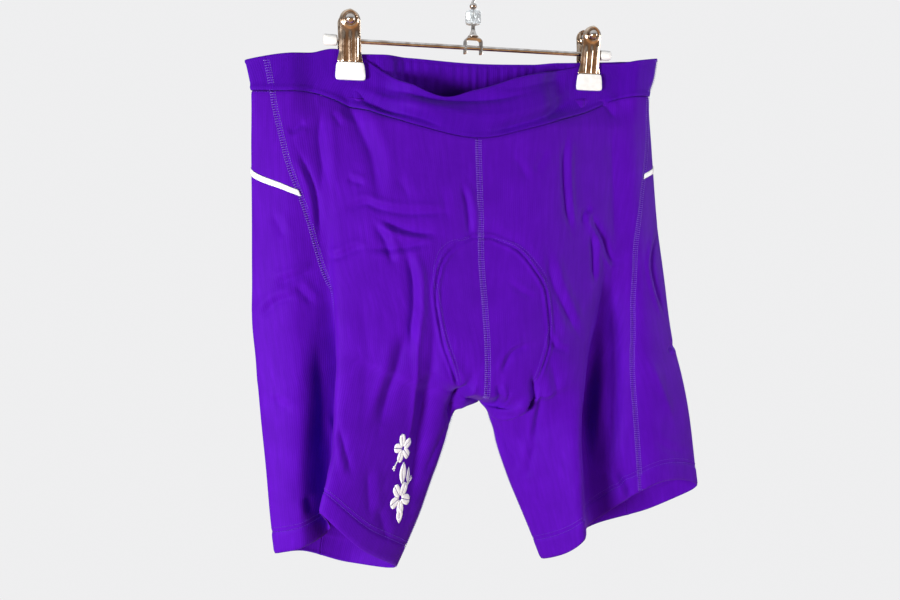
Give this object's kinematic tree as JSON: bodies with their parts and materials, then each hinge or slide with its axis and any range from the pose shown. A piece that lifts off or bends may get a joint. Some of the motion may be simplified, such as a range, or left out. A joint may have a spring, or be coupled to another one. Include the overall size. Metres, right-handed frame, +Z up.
{
  "type": "cycling shorts on a clip hanger",
  "caption": "Close-fitting short-legged cycling trousers with a shaped waistband and seat pad, hung by the waist from a metal clip hanger.",
  "frame": {"origin": "inside top of the hook's crook, where a rail carries the hanger", "axes": "+X along the bar towards the wearer's left leg, -Y out of the garment's front, +Z up"},
  "size_m": [0.4326, 0.0741, 0.5681],
  "materials": {
    "knit": "smooth stretch knit with a soft satin sheen",
    "reflective_tape": "white reflective tape",
    "pad": "brushed knit over foam",
    "chrome": "polished plated steel",
    "vinyl": "soft white vinyl",
    "clear_plastic": "clear moulded plastic"
  },
  "bodies": {
    "root": {"waistband_front": "knit", "waistband_back": "knit", "front_right": "knit", "back_right": "knit", "side_upper_right": "knit", "side_lower_right": "knit", "front_left": "knit", "back_left": "knit", "side_upper_left": "knit", "side_lower_left": "knit", "strip_right": "reflective_tape", "strip_left": "reflective_tape", "seat_pad": "pad", "bar": "chrome", "bridge": "chrome", "hook": "chrome", "bead": "clear_plastic", "end_cap_right": "vinyl", "end_cap_left": "vinyl", "clip_jaw_front_right": "chrome", "clip_jaw_back_right": "chrome", "clip_sleeve_front_right": "vinyl", "clip_sleeve_back_right": "vinyl", "clip_stud_right": "chrome", "clip_spring_right": "chrome", "clip_jaw_front_left": "chrome", "clip_jaw_back_left": "chrome", "clip_sleeve_front_left": "vinyl", "clip_sleeve_back_left": "vinyl", "clip_stud_left": "chrome", "clip_spring_left": "chrome"}
  },
  "joints": []
}
